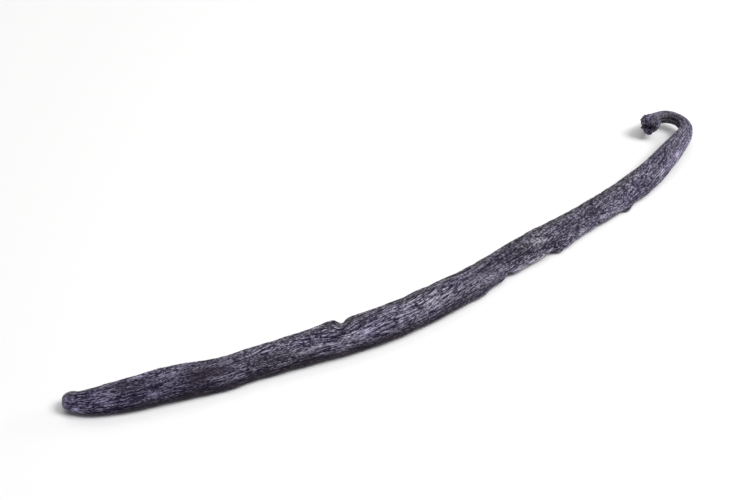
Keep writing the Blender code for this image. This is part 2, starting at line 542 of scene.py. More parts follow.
@dataclass(frozen=True)
class Marks:
    """Dashes, specks and pits: some at their own places, and small pits scattered over the stem half."""

    # Pale marks are partly painted highlights, as the dashes and the bright lip; dark marks paint shade in
    # pits.
    known: tuple[Mark, ...] = rows(
        Mark,
        # The blossom end, with bright specks that are partly painted highlights.
        (3.1, 172, 0.55, 0.45, 0.2, 1.7), (4.1, 188, 0.4, 0.3, 0.15, 1.3), (1.2, 132, 0.45, 0.4, 0.08, 0.5),
        (2, 150, 0.6, 0.5, -0.16, -0.9), (1.7, 112, 0.3, 0.5, -0.08, -0.5), (1.5, 105, 0.4, 0.45, 0.08, 0.45),
        (2.5, 114, 0.35, 0.3, 0.06, 0.35),
        # From there to the pinched fold.
        (6.2, 90, 0.7, 0.35, 0.05, 0.6), (7.8, 128, 0.9, 0.18, 0.05, 0.7, -4),
        (9.2, 105, 1.2, 0.17, 0.05, 0.8, 9), (9.5, 92, 0.35, 0.25, 0.05, 0.8),
        (9.2, 141, 0.8, 0.3, 0.04, 0.4), (10.8, 168, 1.1, 0.2, 0.04, 0.6, 8),
        (11.8, 90, 0.8, 0.18, 0.05, 0.5, -12), (14, 96, 1, 0.2, 0.04, 0.45, -10),
        (16.2, 58, 1.4, 0.5, 0.05, 0.4, 15), (17.2, 87, 0.9, 0.35, 0.05, 0.6, -12),
        (17.5, 141, 1, 0.4, 0.06, 0.7, -10), (16.2, 120, 0.4, 0.3, 0.05, 0.4),
        (19.2, 105, 0.8, 0.2, 0.05, 0.55), (20.8, 87, 0.7, 0.3, 0.06, 0.9),
        (22.6, 84, 0.8, 0.5, 0.05, 0.85, -15), (25.2, 75, 1.2, 0.3, 0.05, 0.75),
        (23.6, 135, 0.8, 0.2, 0.05, 0.65), (21.8, 147, 0.4, 0.3, 0.05, 0.7), (19, 118, 1.1, 0.2, -0.1, -0.9),
        (26.5, 144, 0.6, 0.2, 0.05, 0.5), (27.8, 159, 0.5, 0.3, 0.06, 0.8),
        (32.2, 92, 2.2, 0.5, 0.04, 0.5, 2), (32.5, 138, 1.8, 0.9, 0, 0.3), (34.2, 156, 0.4, 0.3, 0.05, 0.7),
        (35.1, 162, 0.35, 0.3, 0.06, 0.8), (38.5, 75, 0.25, 0.25, 0.05, 0.9),
        (42.9, 105, 2.2, 0.2, 0.06, 0.75, 5), (43.6, 91, 2.2, 0.2, 0.06, 0.7, -5),
        (44.8, 78, 0.5, 0.35, 0.06, 0.6), (43.8, 122, 2.8, 0.2, 0.07, 0.7, -5),
        (40.6, 98, 3.6, 0.15, -0.1, -0.6, 3), (45.4, 112, 3.8, 0.14, -0.1, -0.6, -4),
        (42.6, 136, 3.4, 0.15, -0.1, -0.6, 2), (38.2, 150, 3, 0.14, -0.1, -0.6, -4),
        (46.6, 84, 3, 0.14, -0.1, -0.6, 4), (44.9, 104, 0.5, 0.3, -0.1, -0.7),
        (45.9, 166, 1.8, 0.2, 0.07, 0.8, -3), (48.9, 160, 1.9, 0.2, 0.06, 0.7, -5),
        (48.8, 136, 1, 0.45, 0.06, 0.8, 5), (50.8, 132, 1.1, 0.35, 0.06, 0.7, -10),
        (52, 157, 1.6, 0.2, 0.06, 0.6, -3), (52.7, 126, 0.7, 0.35, 0.08, 1),
        (55.2, 133, 1.5, 0.18, 0.07, 0.85, 5),
        # The ridges that fan out from the pinch, and the pinch's knot.
        (56, 125, 0.5, 0.4, -0.3, -1), (57, 162, 1, 0.35, 0.14, 0.8, -10),
        (58.2, 137, 1.1, 0.2, 0.09, 0.5, 22), (60.3, 117, 2.6, 0.18, 0.12, 0.9, -7),
        (60, 105, 1.4, 0.16, 0.08, 0.5, -14), (60.6, 127, 1.8, 0.18, -0.12, -0.7, 4),
        (62.2, 131, 1.8, 0.8, 0.05, 0.6), (66, 112, 3, 0.2, 0.05, 0.6, 2),
        (66.7, 150, 1.2, 0.2, 0.06, 0.6, 15),
        # The middle.
        (66.4, 158, 1.4, 0.3, -0.1, -0.8), (69, 144, 0.9, 0.25, -0.12, -0.8, -10),
        (69.2, 128, 1.3, 0.55, 0.08, 0.6, 8), (72.5, 144, 0.6, 0.25, -0.12, -0.9),
        (72.8, 106, 1, 0.5, 0.06, 0.5, 10), (74, 168, 0.35, 0.3, 0.06, 0.75),
        (74.2, 88, 2, 0.2, 0.06, 0.6, -4), (77.5, 151, 1.2, 0.3, -0.1, -0.8),
        (79, 141, 1.3, 0.35, 0.06, 0.55), (79.3, 112, 1.8, 0.4, 0.08, 0.75, 2),
        (80.5, 93, 1.2, 0.2, 0.06, 0.7), (82.8, 114, 1.2, 0.22, 0.06, 0.6), (85.8, 120, 0.4, 0.3, 0.05, 0.7),
        (89.5, 153, 0.4, 0.35, 0.06, 0.8), (94.2, 142, 1.4, 0.5, 0.04, 0.4, 20),
        (97.2, 124, 1.2, 0.6, 0.05, 0.6, 5),
        # The thin raised edge on the near side, with a painted highlight along it, and the scar after it.
        (100.8, 182, 1.8, 0.36, 0.14, 0.9, 8), (105.5, 183, 0.4, 0.3, 0.05, 0.7),
        (106.6, 181, 1.7, 0.3, 0.36, 2.2), (109.4, 178, 1.8, 0.26, 0.34, 2.2),
        (110.6, 181, 1.2, 0.28, 0.16, 0.8), (107, 172, 4, 0.25, -0.06, -0.3), (109.5, 108, 1.5, 0.7, 0, 0.35),
        (110.8, 100, 3.2, 0.2, -0.08, -0.7, 22), (110.5, 138, 1.5, 0.22, -0.08, -0.6, 5),
        (112.6, 152, 0.8, 0.25, -0.1, -0.7, 30), (113.6, 174, 0.5, 0.5, -0.12, -0.6),
        (113.6, 112, 0.25, 0.25, 0.1, 0.8), (114.2, 120, 0.25, 0.25, 0.1, 0.8),
        (113.2, 125, 0.22, 0.2, 0.08, 0.7), (114, 104, 0.25, 0.2, 0.08, 0.6),
        # The stem half.
        (118.5, 168, 0.3, 0.3, 0.05, 0.8), (120.2, 168, 1.4, 0.6, 0.06, 0.7),
        (121, 138, 0.3, 0.25, 0.06, 0.8), (121.8, 141, 0.5, 0.3, -0.12, -0.9),
        (124.2, 158, 0.5, 0.4, -0.24, -0.9), (127, 155, 1, 0.35, 0.12, 0.75, 5),
        (128.5, 160, 0.5, 0.3, 0.1, 0.7), (131.9, 176, 1.5, 0.4, 0.14, 0.9, 10),
        (132.8, 141, 0.8, 0.6, 0.14, 0.2), (134.2, 154, 0.4, 0.3, -0.16, -0.8),
        (134.8, 90, 0.35, 0.28, -0.14, -0.8), (134.8, 192, 0.7, 0.3, -0.15, -0.8),
        (136.8, 165, 0.3, 0.3, -0.14, -0.8), (138.2, 110, 0.3, 0.9, 0.1, 0.5),
        (140, 93, 0.4, 0.3, -0.16, -0.8), (141.5, 135, 0.3, 0.7, -0.16, -0.8, 20),
        (141.8, 84, 0.8, 0.3, 0.08, 0.7), (146.6, 150, 1.3, 0.15, 0.05, 0.6, -4),
        (147.2, 141, 1.5, 0.16, 0.06, 0.9, -5), (147.8, 134, 1.3, 0.14, 0.05, 0.7, -5),
        (148.8, 123, 1, 0.2, -0.06, -0.5, -15), (154.1, 150, 1.4, 0.5, 0.05, 0.9, 8),
    )
    scattered: int = 120
    scatter_from: float = 104.0
    scatter_to: float = 156.0
    radius_range: tuple[float, float] = (0.12, 0.24)
    depth_share: float = 0.42
    # Scattered pits are darkened: painted shade.
    pit_pale: float = -0.6
    stray_along: float = 0.3
    along_noise: GradientNoise = GradientNoise(5, 1.6, 0.8)
    stray_across: float = 0.14
    across_noise: GradientNoise = GradientNoise(6, 0.8, 0.8)
    seed: int = 5

    def every(self) -> list[Mark]:
        """The known marks and the scattered pits.

        Returns:
            All the marks, the known ones first.
        """
        rng = np.random.default_rng(self.seed)
        distance = rng.uniform(self.scatter_from, self.scatter_to, self.scattered).tolist()
        angle = rng.uniform(0.0, 360.0, self.scattered).tolist()
        radius = rng.uniform(*self.radius_range, self.scattered).tolist()
        places = zip(distance, angle, radius)
        pits = (Mark(d, a, r, r, -self.depth_share * r, self.pit_pale) for d, a, r in places)
        return [*self.known, *pits]

    def relief(self, skin: BareSkin) -> Relief:
        """Each mark is a bell in both directions on the skin, which a small noise makes uneven.

        Args:
            skin: The skin before its fine relief.

        Returns:
            The marks' height, and how dark and how pale they are.
        """
        along_stray = self.stray_along * self.along_noise.at(skin.flow)
        across_stray = self.stray_across * self.across_noise.at(skin.flow)
        height, groove, pale = (np.zeros_like(along_stray) for _ in range(3))
        for mark in self.every():
            along = skin.grid.distance - mark.distance + along_stray
            across = skin.grid.arc(mark.angle) + across_stray
            lean = math.radians(mark.lean)
            long_way = along * math.cos(lean) + across * math.sin(lean)
            short_way = across * math.cos(lean) - along * math.sin(lean)
            value = bell(long_way, mark.half_length) * bell(short_way, mark.half_width)
            height += mark.rise * value
            groove = np.maximum(groove, -mark.pale * value)
            pale = np.maximum(pale, np.clip(mark.pale * value, 0.0, 1.0))
        return Relief(height, groove, pale)


class Crease(NamedTuple):
    """A narrow line across the skin: a groove, or a lip where its depth is negative."""

    distance: float
    angle: float
    slant: float
    depth: float
    half_length: float
    half_angle: float
    raggedness: float


@dataclass(frozen=True)
class Creases:
    """Lines that run across the pod: the pinch, the blossom end's collar, the scar and the kinks."""

    lines: tuple[Crease, ...] = rows(
        Crease,
        (3.4, 80, 0.35, 0.08, 0.32, 60, 0.25), (37.4, 140, -0.6, 0.12, 0.55, 60, 0.5),
        (58.6, 84, -1.9, 0.24, 0.3, 26, 0.2), (57.1, 114, -4.6, 0.17, 0.28, 14, 0.5),
        (55.4, 150, -1.2, 0.06, 0.3, 16, 0.6), (111.9, 165, -0.6, 0.1, 0.4, 36, 0.5),
        (113.3, 160, -0.7, -0.2, 0.45, 50, 0.3), (114.5, 160, -0.7, 0.07, 0.3, 40, 0.5),
        (98.6, 175, 1, 0.16, 0.5, 45, 0.4), (125.4, 185, 0.5, 0.14, 0.4, 40, 0.4),
        (158.5, 60, 1, 0.1, 0.4, 50, 0.4),
    )
    ragged_along: float = 6.0
    ragged_across: float = 1.3
    # How much painted shade a line's depth puts in its groove.
    darkness: float = 4.0
    seed: int = 31

    def relief(self, skin: BareSkin) -> Relief:
        """Each line is a bell along the pod, faded round it, whose middle strays with a noise to look torn.

        Args:
            skin: The skin before its fine relief.

        Returns:
            The relief, 0 away from the lines.
        """
        grid = skin.grid
        height, groove = np.zeros_like(grid.distance), np.zeros_like(grid.distance)
        for number, line in enumerate(self.lines):
            stray = GradientNoise(self.seed + number, self.ragged_along, self.ragged_across).at(grid.tube())
            from_line = degrees_from(line.angle, grid.angle)
            slanted = line.slant * np.radians(from_line)
            along = grid.distance - line.distance - slanted + line.raggedness * stray
            mark = bell(along, line.half_length) * bell(from_line, line.half_angle)
            height -= line.depth * mark
            groove = np.maximum(groove, mark * np.clip(self.darkness * line.depth, 0.0, 1.0))
        return Relief(height, groove)


@dataclass(frozen=True)
class HookRings:
    """Wrinkles pressed together across the inner side of the hooked stem."""

    start: float = 161.0
    end: float = 174.5
    soft: float = 3.0
    spacing: float = 0.95
    depth: float = 0.12
    # Painted shade in the rings' grooves.
    darkness: float = 0.7
    inner_side: float = 0.0
    half_angle: float = 62.0
    stray: float = 2.6
    noise: GradientNoise = GradientNoise(47, 2.5, 1.6)

    def relief(self, skin: BareSkin) -> Relief:
        """Narrow grooves where a strayed wave along the stem is lowest, faded away from the inner side.

        Args:
            skin: The skin before its fine relief.

        Returns:
            The relief, 0 off the hook.
        """
        grid = skin.grid
        phase = grid.distance / self.spacing * 2.0 * math.pi + self.stray * self.noise.at(grid.tube())
        valley = ((1.0 - np.sin(phase)) / 2.0) ** 3
        fade = between(grid.distance, self.start, self.end, self.soft)
        fade = fade * bell(degrees_from(self.inner_side, grid.angle), self.half_angle)
        return Relief(-self.depth * valley * fade, self.darkness * valley * fade)


@dataclass(frozen=True)
class BlossomPuckers:
    """Folds that run together at a point on the near side of the blossom end."""

    distance: float = 2.8
    angle: float = 135.0
    count: int = 7
    depth: float = 0.15
    # Painted shade in the puckers and the hollow.
    darkness: float = 0.7
    reach: float = 1.2
    fade: float = 1.6
    centre: float = 0.42
    stray: float = 2.0
    noise: GradientNoise = GradientNoise(59)

    def relief(self, skin: BareSkin) -> Relief:
        """Grooves like a wheel's spokes about the point, which fade away from it, and a hollow there.

        Args:
            skin: The skin before its fine relief.

        Returns:
            The relief, 0 away from the point.
        """
        place = skin.place
        row = int(np.argmin(np.abs(skin.grid.distance[:, 0] - self.distance)))
        column = round(self.angle / 360.0 * place.shape[1])
        along = place[row + 1, column] - place[row - 1, column]
        round_it = place[row, column + 1] - place[row, column - 1]
        offset = place - place[row, column]
        x = offset @ (along / np.linalg.norm(along))
        y = offset @ (round_it / np.linalg.norm(round_it))
        away = np.linalg.norm(offset, axis=-1)
        stray = self.stray * self.noise.at(np.stack([x, y, away], axis=-1))
        valley = ((1.0 - np.cos(self.count * np.arctan2(y, x) + stray)) / 2.0) ** 2
        valley *= ease(away / self.centre) * (1.0 - ease((away - self.reach) / self.fade))
        hollow = bell(away, self.centre)
        return Relief(-self.depth * (valley + hollow), self.darkness * np.maximum(valley, hollow))


@dataclass(frozen=True)
class FootFibres:
    """The torn, fibrous swelling where the pod was broken off its stalk."""

    start: float = 174.0
    full: float = 177.0
    lump: float = 0.32
    lumps: GradientNoise = GradientNoise(71, 0.95, 0.95)
    fibre: float = 0.2
    fibres: GradientNoise = GradientNoise(72, 0.55, 0.55)
    rounding: float = 0.18
    groove_width: float = 0.1
    # Painted shade in the fibres' grooves and the low lumps.
    darkness: float = 0.8

    def relief(self, skin: BareSkin) -> Relief:
        """Lumps from a coarse noise and fibres from the folds of a finer one, which set in along the foot.

        Args:
            skin: The skin before its fine relief.

        Returns:
            The relief, 0 before the foot.
        """
        foot = climb(skin.grid.distance, self.start, self.full)
        lump = self.lumps.at(skin.place)
        fibre = np.abs(self.fibres.at(skin.place))
        height = self.lump * lump - self.fibre * np.exp(-fibre / self.rounding)
        groove = np.exp(-fibre / self.groove_width) + np.clip(-lump, 0.0, 1.0)
        return Relief(foot * height, self.darkness * foot * np.clip(groove, 0.0, 1.0))


# ------------------------------ the pod's mesh


def add_object(name: str, data: bpy.types.ID) -> bpy.types.Object:
    """A new object in the scene, at the origin.

    Args:
        name: The object's name.
        data: The mesh, light or camera that it shows.

    Returns:
        The object.
    """
    obj = bpy.data.objects.new(name, data)
    bpy.context.scene.collection.objects.link(obj)
    return obj


class Mask(Enum):
    """The named values that the skin's mesh carries for its finish."""

    # Where the finish paints shade in grooves, creases and pits.
    GROOVE = "groove"
    # Where the finish paints highlights on the ridge tops.
    CREST = "crest"
    # Bloom, and painted light: a highlight band, a bright lip and light under the hook.
    BLOOM = "bloom_and_light"
    # Pale flecks, and small painted highlights.
    PALE = "pale"
    # Brown damp skin, and painted shade along the underside.
    DAMP_AND_SHADE = "damp_and_shade"
    DRY = "dry"
    PEBBLED = "pebbled"
    # From violet to neutral; the neutral strip on the far upper edge is a painted sheen.
    TONE = "tone"


FLOW_ATTRIBUTE = "flow"


@dataclass(frozen=True)
class SkinPatches:
    """Where the skin is pale with bloom and painted light, damp and brown or under painted shade, dry or
    pebbled, and how neutral its tone is.

    The pale tops of the ridges, partly painted highlights, are weaker where the skin is calm.
    """

    bloom_base: float = 0.03
    bloom_spread: float = 0.3
    mottle: GradientNoise = GradientNoise(211, 6.0, 2.2)
    fine_mottle: GradientNoise = GradientNoise(223, 2.2, 0.9)
    fine_share: float = 0.6
    # Painted light in part: the bloom grows toward the stem half, as if the light fell from that end.
    bloom_and_light_gain: float = 0.6
    bloom_and_light_gain_over: tuple[float, float] = (50.0, 110.0)
    # Bloom and painted light: the near side's highlight band, the near edge's lip, light under the hook.
    bloom_and_light: tuple[Patch, ...] = rows(
        Patch,
        (1, 120, 3.5, 80, 0.22), (21.5, 90, 4, 20, 0.35), (14, 120, 4, 25, 0.15), (27.5, 155, 3, 16, 0.3),
        (34, 85, 5, 28, 0.15), (35, 158, 2.5, 16, 0.35), (52, 132, 5, 22, 0.45), (58, 62, 7, 24, 0.35),
        (62.5, 138, 4, 22, 0.5), (55, 165, 5, 14, 0.3), (71, 132, 8, 26, 0.22), (57, 98, 5, 16, -0.35),
        (69, 108, 7, 24, -0.42), (84, 112, 9, 30, 0.08), (93, 100, 6, 26, 0.35), (107, 183, 6, 18, 0.6),
        (121.5, 168, 3.5, 24, 0.5), (129, 170, 4, 26, 0.4), (147.5, 140, 5, 30, 0.4), (155, 155, 6, 40, 0.15),
        (169, 65, 6, 60, 0.6), (168, 330, 6, 50, 0.55),
    )
    damp_base: float = 0.15
    damp_spread: float = 0.3
    browning: GradientNoise = GradientNoise(227, 9.0, 3.0)
    # Painted shade: the dark band along the underside, the foot's top, and darker or browner spots elsewhere.
    shade: tuple[Patch, ...] = rows(
        Patch,
        (9, 66, 5, 16, 0.6), (14.5, 198, 7, 30, 0.8), (28, 198, 11, 42, 1.1), (2.5, 84, 3.5, 30, 0.4),
        (20, 120, 14, 60, 0.12), (13, 104, 7, 30, 0.45), (42, 58, 6, 16, 0.3), (44, 116, 6, 22, 0.6),
        (49, 146, 3, 18, 0.3), (28.5, 114, 6.5, 36, 0.9), (46, 200, 11, 38, 1.1), (64, 196, 12, 36, 0.85),
        (84, 192, 10, 40, 0.8), (101, 102, 7, 30, 0.4), (112.2, 158, 1.4, 30, 0.35),
        (141.4, 128, 1.6, 24, 0.3), (136, 172, 2, 16, 0.3), (177, 80, 3, 50, 0.35),
    )
    # How much painted highlight the ridge tops get: a little everywhere, less in the calm patches.
    off_crest: float = 0.15
    calm: tuple[Patch, ...] = rows(
        Patch,
        (56.5, 98, 4.5, 18, 0.5), (69, 106, 8, 30, 0.48), (84, 116, 8, 36, 0.2), (101, 88, 9, 40, 0.35),
        (118, 104, 8, 30, 0.15),
    )
    middle_tone: float = 0.5
    tone_wander: float = 0.28
    toning: GradientNoise = GradientNoise(229, 12.0, 3.5)
    violet_tip: float = 0.4
    violet_tip_over: tuple[float, float] = (18.0, 52.0)
    # Neutral tone; the long strip along the far upper edge is a painted sheen.
    neutral: tuple[Patch, ...] = rows(
        Patch,
        (85, 25, 100, 48, 0.85), (122, 120, 22, 70, 0.18), (2, 48, 5, 22, 0.5), (43, 140, 8, 40, 0.25),
        (104, 205, 10, 30, 0.35), (130, 205, 14, 30, 0.25), (169, 130, 5, 45, 0.3),
        (177.5, 90, 3.5, 200, -0.12),
    )
    pebbled_from: float = 96.0
    pebbled_to: float = 148.0
    pebbled_soft: float = 22.0
    foot_over: tuple[float, float] = (168.0, 177.0)
    dry_tip: float = 0.5
    dry_tip_over: float = 2.2

    def masks(self, skin: BareSkin, fine: FineSkin) -> dict[Mask, Grid]:
        """The masks: patches of each kind, broken up by noises that are longer along the pod than round it.

        The bloom and painted light grow from the blossom half to the stem half, and the foot is dry and
        pebbled. The damp mask also carries painted shade, mostly along the underside. The tone is 0 where the
        skin is violet, as at the blossom end, and 1 where it is neutral, as on the far side, whose upper edge
        carries a painted sheen.

        Args:
            skin: The skin before its fine relief.
            fine: The fine relief.

        Returns:
            A value from 0 to 1 at each point for each mask.
        """
        grid, distance = skin.grid, skin.grid.distance
        bloom_and_light = self.mottle.at(skin.flow) + self.fine_share * self.fine_mottle.at(skin.flow)
        bloom_and_light = self.bloom_base + self.bloom_spread * bloom_and_light
        bloom_and_light += self.bloom_and_light_gain * climb(distance, *self.bloom_and_light_gain_over) + sum_of(self.bloom_and_light, grid)
        damp_and_shade = self.damp_base + self.damp_spread * self.browning.at(skin.flow) + sum_of(self.shade, grid)
        foot = climb(distance, *self.foot_over)
        tone = self.middle_tone + self.tone_wander * self.toning.at(skin.flow) + sum_of(self.neutral, grid)
        crest = self.off_crest + (1.0 - self.off_crest) * fine.crest
        masks = {
            Mask.GROOVE: fine.groove,
            Mask.CREST: crest * (1.0 - sum_of(self.calm, grid)),
            Mask.BLOOM: bloom_and_light,
            Mask.PALE: fine.pale,
            Mask.DAMP_AND_SHADE: damp_and_shade,
            Mask.DRY: foot + self.dry_tip * bell(distance, self.dry_tip_over),
            Mask.PEBBLED: between(distance, self.pebbled_from, self.pebbled_to, self.pebbled_soft) + foot,
            Mask.TONE: tone - self.violet_tip * (1.0 - climb(distance, *self.violet_tip_over)),
        }
        return {mask: np.clip(value, 0.0, 1.0) for mask, value in masks.items()}


class Share(NamedTuple):
    """How much of one kind of relief there is over the pod.

    A steady amount is the same all over. A varied one changes from place to place, grows at the fold and
    lessens over the stem half. Both grow on the neck, lessen past the body, and begin at the tip with a part
    of themselves. A third amount is there over the stem half alone, and lessens past the body by itself.
    """

    steady: float = 0.0
    varied: float = 1.0
    more_at_fold: float = 0.0
    less_on_stem_half: float = 0.0
    more_on_neck: float = 0.0
    less_past_body: float = 0.0
    at_tip: float = 0.0
    on_stem_half: float = 0.0
    less_of_it_past_body: float = 0.0


@dataclass(frozen=True)
class Zones:
    """Where along the pod its fine relief is stronger or weaker: from, to, and how softly a zone sets in.

    The strength is the varied amount's usual size, which the noise changes from place to place.
    """

    stem_half: tuple[float, float, float] = (108.0, 145.0, 16.0)
    neck: tuple[float, float, float] = (146.0, 160.0, 10.0)
    past_body: tuple[float, float] = (140.0, 152.0)
    tip: tuple[float, float] = (1.0, 7.0)
    fold: Patch = Patch(61.5, 100.0, 5.0, 80.0, 0.3)
    strength: float = 0.85
    strength_range: float = 0.35
    noise: GradientNoise = GradientNoise(17, 9.0, 4.0)


@dataclass(frozen=True)
class PodSkin:
    """The pod's whole skin, as one closed mesh."""

    name: str = "pod_skin"
    columns: int = 204
    rows_between: int = 452
    crowded: tuple[Crowding, ...] = rows(
        Crowding,
        (3, 3, 0.8), (58, 4, 0.8), (99, 3, 0.3), (113, 3, 0.8), (168, 7, 0.6), (176.5, 2.5, 1),
    )
    density_step: float = 0.05
    spine: Spine = Spine()
    girth: Girth = Girth()
    broad: BroadRelief = BroadRelief()
    blossom_cap: Cap = Cap(length=3.0, squareness=2.2, hollow=0.3, rows=18)
    foot_cap: Cap = Cap(length=1.0, squareness=2.8, hollow=0.7, rows=15)
    hollow_share: float = 0.7
    scar_from: float = 178.35
    flow: SkinFlow = SkinFlow()
    zones: Zones = Zones()
    kinds: tuple[tuple[Ribs | Wrinkles, Share], ...] = (
        (
            Ribs(GradientNoise(157, 8.0, 2.0), count=32, depth=0.16, wander=2.3, groove_width=0.26),
            Share(more_at_fold=1.0, less_on_stem_half=0.6, more_on_neck=0.5, less_past_body=0.3, at_tip=0.3),
        ),
        (
            Ribs(GradientNoise(163, 4.5, 1.3), count=53, depth=0.07, wander=2.6, groove_width=0.28),
            Share(steady=0.4, varied=0.6, less_on_stem_half=0.5, more_on_neck=1.0, less_past_body=0.1),
        ),
        (
            Wrinkles(GradientNoise(101, 6.0, 0.9), depth=0.16, groove_width=0.08, rounding=0.16),
            Share(less_on_stem_half=0.4, less_past_body=0.5),
        ),
        (
            Wrinkles(GradientNoise(149, 15.0, 2.1), depth=0.22, groove_width=0.045, rounding=0.1),
            Share(less_on_stem_half=0.8, less_past_body=0.6),
        ),
        (
            Wrinkles(GradientNoise(127, 2.4, 0.75), depth=0.07, groove_width=0.1, rounding=0.2, slant=0.24),
            Share(steady=0.25, varied=0.0, at_tip=1.0, on_stem_half=0.6),
        ),
        (
            Wrinkles(GradientNoise(131, 2.4, 0.75), depth=0.07, groove_width=0.1, rounding=0.2, slant=-0.2),
            Share(steady=0.25, varied=0.0, at_tip=1.0, on_stem_half=0.6),
        ),
        (
            Wrinkles(GradientNoise(139, 1.0, 0.6), depth=0.14, groove_width=0.08, rounding=0.25),
            Share(varied=0.2, at_tip=1.0, on_stem_half=0.8, less_of_it_past_body=0.8),
        ),
    )
    usual_depth: float = 0.16
    crest_drop: float = 0.3
    crest_rise: float = 1.3
    marks: Marks = Marks()
    creases: Creases = Creases()
    hook_rings: HookRings = HookRings()
    puckers: BlossomPuckers = BlossomPuckers()
    foot_fibres: FootFibres = FootFibres()
    groove_share: float = 0.9
    lift: float = 0.12
    bulge: float = 0.1
    bulges: GradientNoise = GradientNoise(19, 7.0, 3.0)
    swellings: tuple[Patch, ...] = rows(
        Patch,
        (1.4, 52, 1.7, 50, 0.3), (2.2, 236, 2.2, 42, -0.5), (7, 215, 4.5, 40, -0.25), (22, 45, 4.5, 34, 0.35),
        (22, 215, 5, 36, -0.2), (34, 50, 3.5, 34, -0.3), (33, 215, 4, 36, 0.42), (39.5, 215, 2.5, 36, -0.12),
        (54, 215, 5, 36, -0.12), (90.5, 210, 2.2, 34, 0.45), (99, 208, 1.2, 34, -0.3),
        (110.6, 206, 1.3, 34, -0.6), (116, 208, 1.5, 30, 0.5), (122.2, 212, 1.6, 30, -0.3),
        (135.3, 212, 1.5, 30, 0.55), (141, 212, 2, 30, 0.35),
    )
    patches: SkinPatches = SkinPatches()

    def grid(self) -> SkinGrid:
        """The rows and columns of the skin.

        The rows of an end follow a superellipse from its pole out to the full section. Between the ends,
        equal amounts of the wanted density lie between each two rows.

        Returns:
            The grid, with a row for each pole.
        """
        distance, share = [], []
        for cap in (self.blossom_cap, self.foot_cap):
            quarter = np.linspace(0.0, math.pi / 2, cap.rows + 1)[:-1]
            share.append(np.sin(quarter) ** (2 / cap.squareness))
            distance.append(cap.length * (1.0 - np.cos(quarter) ** (2 / cap.squareness)))
        fine = np.arange(self.blossom_cap.length, self.spine.length - self.foot_cap.length, self.density_step)
        density = 1.0 + sum(place.more * bell(fine - place.distance, place.spread) for place in self.crowded)
        amount = np.concatenate([[0.0], np.cumsum((density[1:] + density[:-1]) / 2)])
        middle = np.interp(np.linspace(0.0, amount[-1], self.rows_between), amount, fine)
        along = np.concatenate([distance[0], middle, self.spine.length - distance[1][::-1]])
        size = np.concatenate([share[0], np.ones(self.rows_between), share[1][::-1]])
        turn = np.arange(self.columns) / self.columns * 2.0 * math.pi
        along, angle = np.meshgrid(along, turn, indexing="ij")
        size = np.repeat(size[:, None], self.columns, axis=1)
        return SkinGrid(along, size, angle, sum(self.girth.half_sizes(along)) / 2)

    def broad_points(self, grid: SkinGrid) -> Points:
        """The skin with its broad relief alone, as the part's solid has it.

        A point stands off the spine by its share of the half size plus the relief, across by the cosine of
        its angle and up by the sine, and never goes below the table. The middle of each end is pushed in.

        Args:
            grid: The skin's grid.

        Returns:
            X, Y and Z of each point.
        """
        middle = np.clip(1.0 - (grid.share / self.hollow_share) ** 2, 0.0, 1.0) ** 2
        blossom = grid.distance < self.spine.length / 2
        hollow = np.where(blossom, self.blossom_cap.hollow, -self.foot_cap.hollow) * middle
        x, y = self.spine.place(grid.distance + hollow)
        heading = self.spine.heading(grid.distance)
        half_width, half_thickness = self.girth.half_sizes(grid.distance)
        relief = self.broad.height(grid)
        across = grid.share * (half_width + relief) * np.cos(grid.angle)
        up = grid.share * (half_thickness + relief) * np.sin(grid.angle)
        z = np.maximum(self.girth.height(grid.distance) + up, 0.0)
        return np.stack([x - across * np.sin(heading), y + across * np.cos(heading), z], axis=-1)

    @staticmethod
    def outward(points: Points) -> Points:
        """The direction that faces out of the skin at each point: the cross product of its two edges there.

        Args:
            points: X, Y and Z of the grid's points.

        Returns:
            A unit vector for each point. At a pole it is the mean of the row beside it.
        """
        along = np.gradient(points, axis=0)
        round_it = np.roll(points, -1, axis=1) - np.roll(points, 1, axis=1)
        out = np.cross(round_it, along)
        out[0] = out[1].mean(axis=0)
        out[-1] = out[-2].mean(axis=0)
        return out / np.maximum(np.linalg.norm(out, axis=-1, keepdims=True), 1e-12)

    def amounts(self, skin: BareSkin) -> list[Grid]:
        """How much there is of each kind of rib and wrinkle, as its share says for the zones of the pod.

        Args:
            skin: The skin before its fine relief.

        Returns:
            Each kind's amount at each point.
        """
        distance, zones, amounts = skin.grid.distance, self.zones, []
        stem_half = between(distance, *zones.stem_half)
        neck = between(distance, *zones.neck)
        past_body = climb(distance, *zones.past_body)
        tip = climb(distance, *zones.tip)
        fold = zones.fold.over(skin.grid)
        strength = zones.strength + zones.strength_range * zones.noise.at(skin.flow)
        for _, share in self.kinds:
            varied = share.varied * strength * (1.0 + share.more_at_fold * fold)
            amount = share.steady + varied * (1.0 - share.less_on_stem_half * stem_half)
            amount *= 1.0 + share.more_on_neck * neck - share.less_past_body * past_body
            amount *= share.at_tip + (1.0 - share.at_tip) * tip
            third = share.on_stem_half * stem_half * (1.0 - share.less_of_it_past_body * past_body)
            amounts.append(amount + third)
        return amounts

    def fine_relief(self, skin: BareSkin) -> FineSkin:
        """All the fine relief, each kind where the skin has it.

        A point's crest is how high its ribs and wrinkles alone leave it; the finish paints highlights there.
        The groove is where the finish paints shade.

        Args:
            skin: The skin before its fine relief.

        Returns:
            The whole height, and where the grooves, the ridges' tops and the pale marks are.
        """
        height = np.zeros_like(skin.grid.distance)
